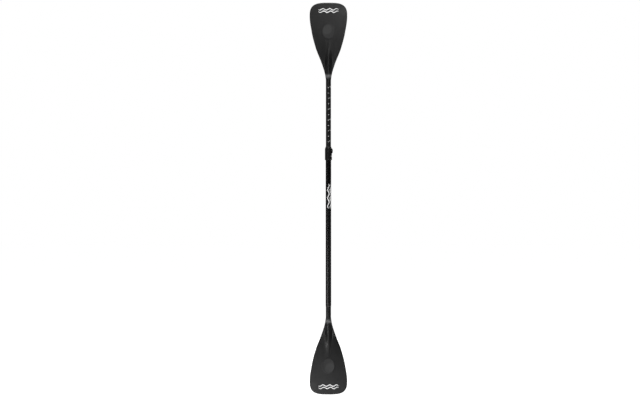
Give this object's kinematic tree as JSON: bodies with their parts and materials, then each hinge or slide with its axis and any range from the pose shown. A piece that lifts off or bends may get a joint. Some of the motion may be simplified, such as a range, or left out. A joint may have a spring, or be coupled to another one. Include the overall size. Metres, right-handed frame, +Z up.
{
  "type": "kayak paddle",
  "caption": "Double-bladed telescopic paddle: matte black teardrop blades on a slim shaft, with a cam-lever clamp collar and a length scale.",
  "frame": {"origin": "on the shaft axis at the middle of the paddle's length, in the middle of the grip", "axes": "+Z up the shaft towards the sliding half, -Y out of the blades' shown faces, +X towards the clamp's ears"},
  "size_m": [0.2054, 0.0645, 2.144],
  "materials": {
    "shaft_paint": "satin black coat on aluminium tube",
    "sliding_tube_paint": "satin dark grey anodised tube, rubbed along its length",
    "stop_ring_plastic": "matte dark grey",
    "clamp_plastic": "fine spark-eroded texture, black",
    "lever_plastic": "fine texture, black",
    "dark_steel": "black oxide",
    "spring_steel": "bright stainless",
    "blade_plastic": "glass-filled nylon, black, soft sheen",
    "glide_plastic": "acetal",
    "plug_plastic": "moulded",
    "foam": "closed-cell foam"
  },
  "bodies": {
    "main_shaft": {"main_tube": "shaft_paint", "main_foam_plug": "foam", "clamp_collar": "clamp_plastic", "clamp_bolt": "dark_steel", "bolt_washer": "dark_steel", "cam_washer": "dark_steel", "pivot_barrel": "dark_steel", "lower_stub_tube": "sliding_tube_paint", "stub_stop_ring": "stop_ring_plastic", "stub_foam_plug": "foam", "lower_clip_spring": "spring_steel", "lower_blade": "blade_plastic"},
    "clamp_lever": {"clamp_lever": "lever_plastic"},
    "lower_button": {"lower_button": "spring_steel"},
    "glide": {"glide_ring": "glide_plastic"},
    "upper_shaft": {"upper_tube": "sliding_tube_paint", "upper_end_plug": "plug_plastic", "upper_foam_plug": "foam", "upper_clip_spring": "spring_steel", "upper_blade": "blade_plastic"},
    "upper_button": {"upper_button": "spring_steel"}
  },
  "joints": [
    {"name": "length_slide", "type": "slide", "parent": "main_shaft", "child": "glide", "axis": [0, 0, 1], "range_m": [-0.324, 0.056]},
    {"name": "feather_turn", "type": "hinge", "parent": "glide", "child": "upper_shaft", "pos_m": [0, 0, 0], "axis": [0, 0, 1], "continuous": true},
    {"name": "lever_open", "type": "hinge", "parent": "main_shaft", "child": "clamp_lever", "pos_m": [0.0176, 0.0147, 0.262], "axis": [0, 0, -1], "range_deg": [0, 150]},
    {"name": "lower_button_press", "type": "slide", "parent": "main_shaft", "child": "lower_button", "axis": [0, -1, 0], "range_m": [0, 0.0036], "stiffness_N_per_m": 2000, "springref_m": -0.001, "deforming": ["lower_clip_spring"]},
    {"name": "upper_button_press", "type": "slide", "parent": "upper_shaft", "child": "upper_button", "axis": [0, -1, 0], "range_m": [0, 0.0046], "stiffness_N_per_m": 2000, "springref_m": -0.001, "deforming": ["upper_clip_spring"]}
  ]
}
